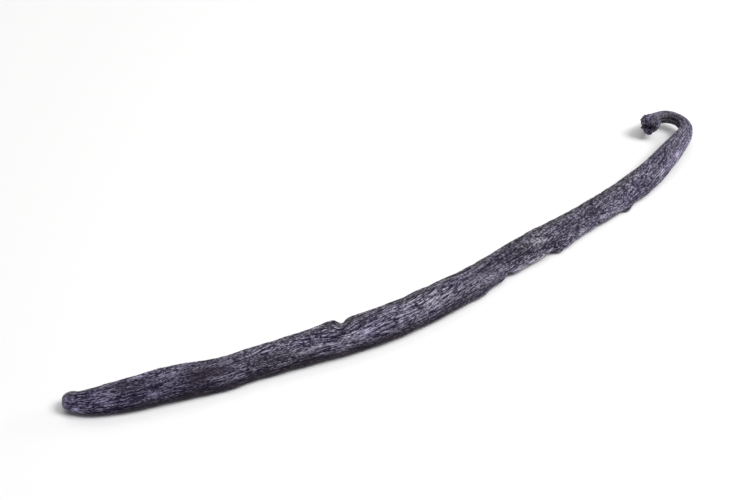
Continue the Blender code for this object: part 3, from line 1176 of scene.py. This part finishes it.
        # 1 - smooth is the groove: where the finish paints shade in grooves, creases and pits.
        smooth = np.ones_like(height)
        for (kind, _), amount in zip(self.kinds, self.amounts(skin)):
            relief = kind.relief(skin)
            height += amount * relief.height
            smooth *= 1.0 - np.clip(amount * kind.depth / self.usual_depth, 0.0, 1.0) * relief.groove
        crest = ease(height / self.crest_drop + self.crest_rise)
        marked = self.marks.relief(skin)
        others = (self.creases, self.hook_rings, self.puckers, self.foot_fibres)
        for relief in (marked, *(kind.relief(skin) for kind in others)):
            height += relief.height
            smooth *= 1.0 - self.groove_share * np.clip(relief.groove, 0.0, 1.0)
        lift = self.lift * climb(skin.grid.distance, *self.zones.tip)
        height += lift + self.bulge * self.bulges.at(skin.flow)
        height += sum_of(self.swellings, skin.grid)
        return FineSkin(height, 1.0 - smooth, crest, marked.pale)

    def build(self) -> bpy.types.Object:
        """Make the skin's mesh: the broad points moved out by the fine relief, with both poles closed.

        Returns:
            The skin's object, in metres, at the origin.
        """
        grid = self.grid()
        place = self.broad_points(grid)
        skin = BareSkin(grid, self.flow.unrolled(grid, self.broad.pinched_fold), place)
        fine = self.fine_relief(skin)
        points = place + self.outward(place) * fine.height[..., None]
        points[..., 2] = np.maximum(points[..., 2], 0.0)

        vertices = self.each_vertex(points) * MM
        columns = self.columns
        ring = np.arange(len(vertices) - 2).reshape(-1, columns) + 1
        beside = np.roll(ring, -1, axis=1)
        quads = np.stack([ring[:-1], ring[1:], beside[1:], beside[:-1]], axis=-1).reshape(-1, 4)
        first = np.stack([np.zeros(columns, int), ring[0], beside[0]], axis=-1)
        last = np.stack([np.full(columns, len(vertices) - 1), beside[-1], ring[-1]], axis=-1)

        mesh = bpy.data.meshes.new(self.name)
        mesh.from_pydata(vertices.tolist(), [], [*first.tolist(), *quads.tolist(), *last.tolist()])
        mesh.shade_smooth()
        for mask, values in self.patches.masks(skin, fine).items():
            attribute = mesh.attributes.new(mask.value, "FLOAT", "POINT")
            attribute.data.foreach_set("value", self.each_vertex(values).astype(np.float32))
        attribute = mesh.attributes.new(FLOW_ATTRIBUTE, "FLOAT_VECTOR", "POINT")
        attribute.data.foreach_set("vector", self.each_vertex(skin.flow).astype(np.float32).ravel())
        ends = np.zeros(columns), np.full(columns, self.spine.length)
        face_row = np.concatenate([ends[0], np.repeat(grid.distance[1:-2, 0], columns), ends[1]])
        mesh.polygons.foreach_set("material_index", (face_row > self.scar_from).astype(np.int32))
        mesh.validate()
        return add_object(self.name, mesh)

    @staticmethod
    def each_vertex(values: Grid) -> Grid:
        """The grid's values for the mesh's vertices, of which there is one at each pole."""
        inner = values[1:-1].reshape(-1, *values.shape[2:])
        return np.concatenate([values[:1, 0], inner, values[-1:, 0]])


# ------------------------------ finishes


class Ramp(NamedTuple):
    """A way for a value: from low to high it goes from start to end."""

    low: float
    high: float
    start: float = 0.0
    end: float = 1.0


@dataclass
class Wiring:
    """Adds nodes to a node tree from left to right, and joins them."""

    tree: bpy.types.NodeTree
    column: int = 0
    spacing: float = 190.0

    def add(
        self, kind: str, inputs: dict[Any, Any] | None = None, settings: dict[str, Any] | None = None
    ) -> bpy.types.Node:
        """Add a node.

        Args:
            kind: The node's type.
            inputs: For each input, by name or number, the socket that feeds it or its value.
            settings: The node's own settings.

        Returns:
            The new node.
        """
        node = self.tree.nodes.new(kind)
        node.location = (self.column * self.spacing, 0.0)
        self.column += 1
        for name, value in (settings or {}).items():
            setattr(node, name, value)
        for name, value in (inputs or {}).items():
            if isinstance(value, Socket):
                self.tree.links.new(value, node.inputs[name])
            else:
                node.inputs[name].default_value = value
        return node

    def maths(self, operation: str, first: Any, second: Any = 0.0) -> Socket:
        """The result of an operation on two values."""
        return self.add("ShaderNodeMath", {0: first, 1: second}, {"operation": operation}).outputs[0]

    def times(self, first: Any, second: Any) -> Socket:
        """The product of two values."""
        return self.maths("MULTIPLY", first, second)

    def ramp(self, value: Any, ramp: Ramp) -> Socket:
        """Where a value is on a ramp, with a smooth start and end, and no further than its ends."""
        inputs = dict(zip(("Value", "From Min", "From Max", "To Min", "To Max"), (value, *ramp)))
        return self.add("ShaderNodeMapRange", inputs, {"interpolation_type": "SMOOTHSTEP"}).outputs["Result"]

    def blend(self, amount: Any, first: Any, second: Any) -> Socket:
        """The first value, and more of the second with the amount."""
        return self.add("ShaderNodeMix", {0: amount, 2: first, 3: second}, {"data_type": "FLOAT"}).outputs[0]

    def mix(self, amount: Any, first: Any, second: Any, how: str = "MIX") -> Socket:
        """The first colour, and more of the second with the amount.

        Args:
            amount: How much of the second, from 0 to 1.
            first: A socket or a colour.
            second: A socket or a colour.
            how: MIX to go over to the second, or MULTIPLY to go over to the product of both.

        Returns:
            The colour's socket.
        """
        colours = [(*colour, 1.0) if isinstance(colour, tuple) else colour for colour in (first, second)]
        inputs = {0: amount, 6: colours[0], 7: colours[1]}
        return self.add("ShaderNodeMix", inputs, {"data_type": "RGBA", "blend_type": how}).outputs[2]

    def stretch(self, vector: Any, share: float) -> Socket:
        """A vector whose first coordinate keeps only a share of its size."""
        inputs = {0: vector, 1: (share, 1.0, 1.0)}
        return self.add("ShaderNodeVectorMath", inputs, {"operation": "MULTIPLY"}).outputs[0]

    def mask(self, mask: Mask) -> Socket:
        """A mask that the mesh carries."""
        return self.add("ShaderNodeAttribute", None, {"attribute_name": mask.value}).outputs["Fac"]

    def noise(self, vector: Any, scale: Any, detail: float = 2.0) -> Socket:
        """A noise from 0 to 1."""
        inputs = {"Vector": vector, "Scale": scale, "Detail": detail}
        return self.add("ShaderNodeTexNoise", inputs).outputs["Fac"]


@dataclass(frozen=True)
class SkinGrain:
    """The finest ribs, grit and mottling of the skin, which all its finishes share as one node group."""

    name: str = "skin_grain"
    inputs: tuple[str, ...] = ("Pebbled", "Rib Count", "Rib Wander", "Grit Scale", "Mottle Scale")
    outputs: tuple[str, ...] = ("Height", "Crease", "Crest", "Grit", "Mottle")
    stray_stretch: float = 0.25
    stray_scale: float = 0.8
    grit_stretch: float = 0.5
    grit: Ramp = Ramp(0.34, 0.66)
    gritty: Ramp = Ramp(0.0, 1.0, 0.4, 0.85)
    pebbled_contrast: float = 0.6
    crease: Ramp = Ramp(0.1, 0.42, 1.0, 0.0)
    crest: Ramp = Ramp(0.6, 0.9)
    mottle_detail: float = 4.0
    mottle: Ramp = Ramp(0.35, 0.65)

    def group(self) -> bpy.types.NodeTree:
        """The node group, made when it is first wanted.

        Fine ribs lie side by side round the pod and wander with a noise. Grit is a finer noise, drawn out
        along the pod. Height is mostly ribs on wrinkled skin and mostly grit on pebbled skin. Crease and
        Crest are its bottoms and its tops, which are weaker on pebbled skin; the finish paints shade in the
        creases and highlights on the crests. Mottle is a slower noise.

        Returns:
            The group.
        """
        if self.name in bpy.data.node_groups:
            return bpy.data.node_groups[self.name]
        tree = bpy.data.node_groups.new(self.name, "ShaderNodeTree")
        tree.interface.new_socket("Flow", in_out="INPUT", socket_type="NodeSocketVector")
        for way, names in (("INPUT", self.inputs), ("OUTPUT", self.outputs)):
            for name in names:
                tree.interface.new_socket(name, in_out=way, socket_type="NodeSocketFloat")
        wiring = Wiring(tree)
        given = wiring.add("NodeGroupInput").outputs
        flow = wiring.add("ShaderNodeSeparateXYZ", {0: given["Flow"]}).outputs
        angle = wiring.maths("ARCTAN2", flow["Z"], flow["Y"])
        stray = wiring.noise(wiring.stretch(given["Flow"], self.stray_stretch), self.stray_scale, 1.0)
        stray = wiring.times(wiring.maths("SUBTRACT", stray, 0.5), given["Rib Wander"])
        phase = wiring.maths("ADD", wiring.times(angle, given["Rib Count"]), stray)
        rib = wiring.maths("ABSOLUTE", wiring.maths("SINE", phase))
        grit = wiring.noise(wiring.stretch(given["Flow"], self.grit_stretch), given["Grit Scale"])
        grit = wiring.ramp(grit, self.grit)
        height = wiring.blend(wiring.ramp(given["Pebbled"], self.gritty), rib, grit)
        contrast = wiring.blend(given["Pebbled"], 1.0, self.pebbled_contrast)
        crease = wiring.times(wiring.ramp(height, self.crease), contrast)
        crest = wiring.times(wiring.ramp(height, self.crest), contrast)
        mottle = wiring.noise(given["Flow"], given["Mottle Scale"], self.mottle_detail)
        results = (height, crease, crest, grit, wiring.ramp(mottle, self.mottle))
        wiring.add("NodeGroupOutput", dict(zip(self.outputs, results)))
        return tree


@dataclass(frozen=True)
class SkinFinish:
    """Oily, cured skin: purplish black-brown, with pale lavender bloom and painted highlights on its ridges,
    and painted shade in its grooves and along its underside.

    A ramp says how much more or less of something there is with something else: mottled and topped are bloom
    and painted light with the grain's mottle and the mesh's crests, bloomed is ridge with bloom, specked,
    speckled and wet_and_shaded are speck, dry and damp with the grain's height, grooved is groove with the
    mesh's grooves, gritted is groove with grit, tinted is tone with crests, and coated is coat with dullness.

    The ridge colour paints highlights on the crests, the speck colour pale flecks and small highlights, the
    groove colour shade in grooves, creases and pits, and the damp colour brown damp skin and painted shade.
    """

    name: str
    skin: Colour = (0.0252, 0.0156, 0.045)
    # Bloom, and painted light where the bloom patches stand for it.
    bloom_and_light: Colour = (0.132, 0.111, 0.171)
    # Painted highlight: pale glints on the ridge tops, with some bloom.
    ridge: Colour = (0.487, 0.452, 0.606)
    # Pale flecks, and small painted highlights such as the bright lip.
    speck_and_glint: Colour = (0.78, 0.72, 0.92)
    # Painted shade in grooves, creases and pits.
    groove: Colour = (0.0068, 0.0034, 0.0145)
    # Brown damp skin, and painted shade along the underside.
    damp_and_shade: Colour = (0.0115, 0.0058, 0.0115)
    dry: Colour = (0.265, 0.24, 0.325)
    violet: Colour = (1.03, 0.93, 1.32)
    neutral: Colour = (0.96, 1.06, 0.79)
    mottled: Ramp = Ramp(0.0, 1.0, 0.6, 1.3)
    topped: Ramp = Ramp(0.3, 1.0, 0.35, 1.15)
    bloomed: Ramp = Ramp(0.0, 0.6, 1.05, 0.97)
    specked: Ramp = Ramp(0.0, 0.6, 0.4, 0.9)
    speckled: Ramp = Ramp(0.15, 0.85, 0.0, 1.4)
    wet_and_shaded: Ramp = Ramp(0.4, 0.95, 1.12, 0.88)
    grooved: Ramp = Ramp(0.2, 0.75)
    gritted: Ramp = Ramp(0.3, 0.9, 1.0, 0.5)
    tinted: Ramp = Ramp(0.0, 0.7, 1.0, 0.25)
    coated: Ramp = Ramp(0.0, 0.6, 1.0, 0.0)
    damp_dull: float = 0.42
    roughness: float = 0.46
    roughness_range: float = 0.2
    gloss: float = 0.18
    gloss_tint: Colour = (0.86, 0.84, 1.0)
    coat: float = 0.5
    coat_roughness: float = 0.28
    bump: float = 1.0
    bump_height: float = 0.0001
    rib_count: int = 84
    rib_wander: float = 16.0
    grit_scale: float = 3.2
    mottle_scale: float = 0.9
    grain: SkinGrain = SkinGrain()

    def material(self) -> bpy.types.Material:
        """Make the material.

        The colour goes from the skin's to the bloom's, with its painted light, and on to the ridge's painted
        highlight where both the mesh's ridges and the grain's crests are high. The speck colour, with its
        small painted highlights, and the dry, damp and groove colours follow with their masks; the damp and
        groove colours carry painted shade. At last all but the crests is tinted with the tone, from violet to
        neutral.
        Grooves and damp skin are dull.

        Returns:
            The material.
        """
        material = bpy.data.materials.new(self.name)
        material.use_nodes = True
        material.node_tree.nodes.clear()
        wiring = Wiring(material.node_tree)
        masks = {mask: wiring.mask(mask) for mask in Mask}
        flow = wiring.add("ShaderNodeAttribute", None, {"attribute_name": FLOW_ATTRIBUTE}).outputs["Vector"]
        grain_inputs = {
            "Flow": flow,
            "Pebbled": masks[Mask.PEBBLED],
            "Rib Count": self.rib_count / 2,
            "Rib Wander": self.rib_wander,
            "Grit Scale": self.grit_scale,
            "Mottle Scale": self.mottle_scale,
        }
        grain = wiring.add("ShaderNodeGroup", grain_inputs, {"node_tree": self.grain.group()}).outputs
        on_top = wiring.blend(masks[Mask.PEBBLED], 1.0, wiring.ramp(masks[Mask.CREST], self.topped))
        mottled = wiring.times(wiring.ramp(grain["Mottle"], self.mottled), on_top)
        # Bloom, with the painted light of its patches, broken by the mottle and topped on the crests.
        bloom_and_light = wiring.times(masks[Mask.BLOOM], mottled)
        # Where the ridges' painted highlights go.
        crest = wiring.times(masks[Mask.CREST], grain["Crest"])
        # Painted shade in the mesh's grooves, creases and pits, and in the grain's creases.
        groove = wiring.ramp(masks[Mask.GROOVE], self.grooved)
        groove = wiring.times(groove, wiring.ramp(grain["Grit"], self.gritted))
        dark = wiring.maths("MAXIMUM", groove, grain["Crease"])
        # Colour layers: bloom with painted light, ridge highlights, pale specks with highlights, dry stalk,
        # damp skin with painted shade, groove shade.
        layers = (
            (bloom_and_light, self.bloom_and_light),
            (wiring.times(crest, wiring.ramp(bloom_and_light, self.bloomed)), self.ridge),
            (wiring.times(masks[Mask.PALE], wiring.ramp(grain["Height"], self.specked)), self.speck_and_glint),
            (wiring.times(masks[Mask.DRY], wiring.ramp(grain["Height"], self.speckled)), self.dry),
            (wiring.times(masks[Mask.DAMP_AND_SHADE], wiring.ramp(grain["Height"], self.wet_and_shaded)), self.damp_and_shade),
            (dark, self.groove),
        )
        colour = self.skin
        for amount, layer in layers:
            colour = wiring.mix(amount, colour, layer)
        tint = wiring.mix(masks[Mask.TONE], self.violet, self.neutral)
        colour = wiring.mix(wiring.ramp(crest, self.tinted), colour, tint, "MULTIPLY")
        dull = wiring.maths("MAXIMUM", dark, wiring.times(masks[Mask.DAMP_AND_SHADE], self.damp_dull))
        rough = Ramp(0.0, 1.0, self.roughness - self.roughness_range / 2, self.roughness)
        rough = wiring.ramp(grain["Mottle"], rough)
        rough = wiring.maths("ADD", rough, wiring.times(dull, self.roughness_range))
        bump_inputs = {"Strength": self.bump, "Distance": self.bump_height, "Height": grain["Height"]}
        shader_inputs = {
            "Base Color": colour,
            "Roughness": rough,
            "Metallic": 0.0,
            "Specular IOR Level": self.gloss,
            "Specular Tint": (*self.gloss_tint, 1.0),
            "Coat Weight": wiring.times(wiring.ramp(dull, self.coated), self.coat),
            "Coat Roughness": self.coat_roughness,
            "Normal": wiring.add("ShaderNodeBump", bump_inputs).outputs["Normal"],
        }
        shader = wiring.add("ShaderNodeBsdfPrincipled", shader_inputs)
        wiring.add("ShaderNodeOutputMaterial", {"Surface": shader.outputs[0]})
        return material


@dataclass(frozen=True)
class FloorFinish:
    """The matt, nearly white table."""

    name: str = "pale_floor"
    colour: Colour = (0.92, 0.92, 0.92)
    roughness: float = 0.9

    def material(self) -> bpy.types.Material:
        """Make the material: one plain matt colour.

        Returns:
            The material.
        """
        material = bpy.data.materials.new(self.name)
        material.use_nodes = True
        shader = material.node_tree.nodes["Principled BSDF"]
        shader.inputs["Base Color"].default_value = (*self.colour, 1.0)
        shader.inputs["Roughness"].default_value = self.roughness
        return material


# ------------------------------ studio


def direction(azimuth: float, elevation: float) -> Vector:
    """The way out at an azimuth, 0 towards -Y and 90 towards +X, and at an elevation above the table."""
    a, e = math.radians(azimuth), math.radians(elevation)
    return Vector((math.sin(a) * math.cos(e), -math.cos(a) * math.cos(e), math.sin(e)))


def stand(obj: bpy.types.Object, place: Vector, away: Vector) -> None:
    """Stand a light or a camera at a place, facing back along a way out.

    Args:
        obj: The light or the camera.
        place: Where it stands, in metres.
        away: The way from what it faces.
    """
    obj.location = place
    obj.rotation_mode = "QUATERNION"
    obj.rotation_quaternion = away.to_track_quat("Z", "Y")


@dataclass(frozen=True)
class SoftLight:
    """A square soft box that faces the pod, in metres and watts."""

    name: str
    azimuth: float
    elevation: float
    distance: float
    size: float
    power: float
    colour: Colour = (1.0, 1.0, 1.0)

    def build(self) -> None:
        """Make the light, turned to face the origin."""
        light = bpy.data.lights.new(self.name, "AREA")
        light.shape = "SQUARE"
        light.size = self.size
        light.energy = self.power
        light.color = self.colour
        obj = add_object(self.name, light)
        away = direction(self.azimuth, self.elevation)
        stand(obj, away * self.distance, away)


@dataclass(frozen=True)
class Studio:
    """The table, the lights and the camera. The camera's place is in millimetres, as the pod's sizes are."""

    floor_size: float = 6.0
    floor: FloorFinish = FloorFinish()
    lights: tuple[SoftLight, ...] = (
        SoftLight("top", azimuth=0.0, elevation=80.0, distance=1.0, size=0.8, power=4.0),
        SoftLight("key", azimuth=42.0, elevation=54.0, distance=0.9, size=0.4, power=5.8),
        SoftLight("kicker", azimuth=80.0, elevation=14.0, distance=0.8, size=0.3, power=1.5),
        SoftLight(
            "back", azimuth=170.0, elevation=50.0, distance=1.0, size=0.6, power=1.8, colour=(1.0, 0.97, 0.92)
        ),
    )
    sky: Colour = (0.95, 0.96, 1.0)
    sky_strength: float = 0.12
    camera_azimuth: float = -33.0
    camera_elevation: float = 42.0
    camera_distance: float = 365.5
    target: tuple[float, float, float] = (-3.21, 12.81, 0.0)
    lens: float = 80.0
    sensor: float = 36.0
    clip: tuple[float, float] = (0.01, 20.0)

    def build_floor(self) -> None:
        """Make the table's flat top, just under the pod."""
        half = self.floor_size / 2
        mesh = bpy.data.meshes.new("floor")
        corners = [(-half, -half, 0.0), (half, -half, 0.0), (half, half, 0.0), (-half, half, 0.0)]
        mesh.from_pydata(corners, [], [(0, 1, 2, 3)])
        mesh.materials.append(self.floor.material())
        add_object("floor", mesh)

    def build_sky(self) -> None:
        """Light the room evenly from all round."""
        world = bpy.data.worlds.new("room")
        world.use_nodes = True
        background = world.node_tree.nodes["Background"]
        background.inputs["Color"].default_value = (*self.sky, 1.0)
        background.inputs["Strength"].default_value = self.sky_strength
        bpy.context.scene.world = world

    def build_camera(self) -> None:
        """Make the camera, looking at its target from its azimuth and elevation."""
        data = bpy.data.cameras.new("camera")
        data.lens = self.lens
        data.sensor_width = self.sensor
        data.clip_start, data.clip_end = self.clip
        obj = add_object("camera", data)
        away = direction(self.camera_azimuth, self.camera_elevation)
        stand(obj, (Vector(self.target) + away * self.camera_distance) * MM, away)
        bpy.context.scene.camera = obj

    def build(self) -> None:
        """Make everything in the studio."""
        self.build_floor()
        self.build_sky()
        for light in self.lights:
            light.build()
        self.build_camera()
        bpy.context.scene.view_settings.view_transform = "Standard"


# ------------------------------ main


@dataclass(frozen=True)
class VanillaPod:
    """The whole pod: its skin, in two finishes."""

    skin: PodSkin = PodSkin()
    skin_finish: SkinFinish = SkinFinish("cured_skin")
    # The torn stem: greyer, with fainter painted highlights on its ridges.
    scar_finish: SkinFinish = SkinFinish(
        "torn_stem", skin=(0.04, 0.036, 0.042), ridge=(0.2, 0.19, 0.21), roughness=0.66, coat=0.05
    )

    def build(self) -> bpy.types.Object:
        """Build and dress the skin, and let it stand for the part's solid.

        Returns:
            The pod's object.
        """
        obj = self.skin.build()
        obj.data.materials.append(self.skin_finish.material())
        obj.data.materials.append(self.scar_finish.material())
        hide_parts(NODE)
        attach(obj, BODY)
        return obj


def main() -> None:
    """Build the pod and its studio, and report each piece."""
    logging.basicConfig(level=logging.INFO, format="%(name)s: %(message)s")
    pod = VanillaPod().build()
    log.info("%s: %d faces", pod.name, len(pod.data.polygons))
    studio = Studio()
    studio.build()
    log.info("studio: floor, %d lights and camera", len(studio.lights))


if __name__ == "__main__":
    main()
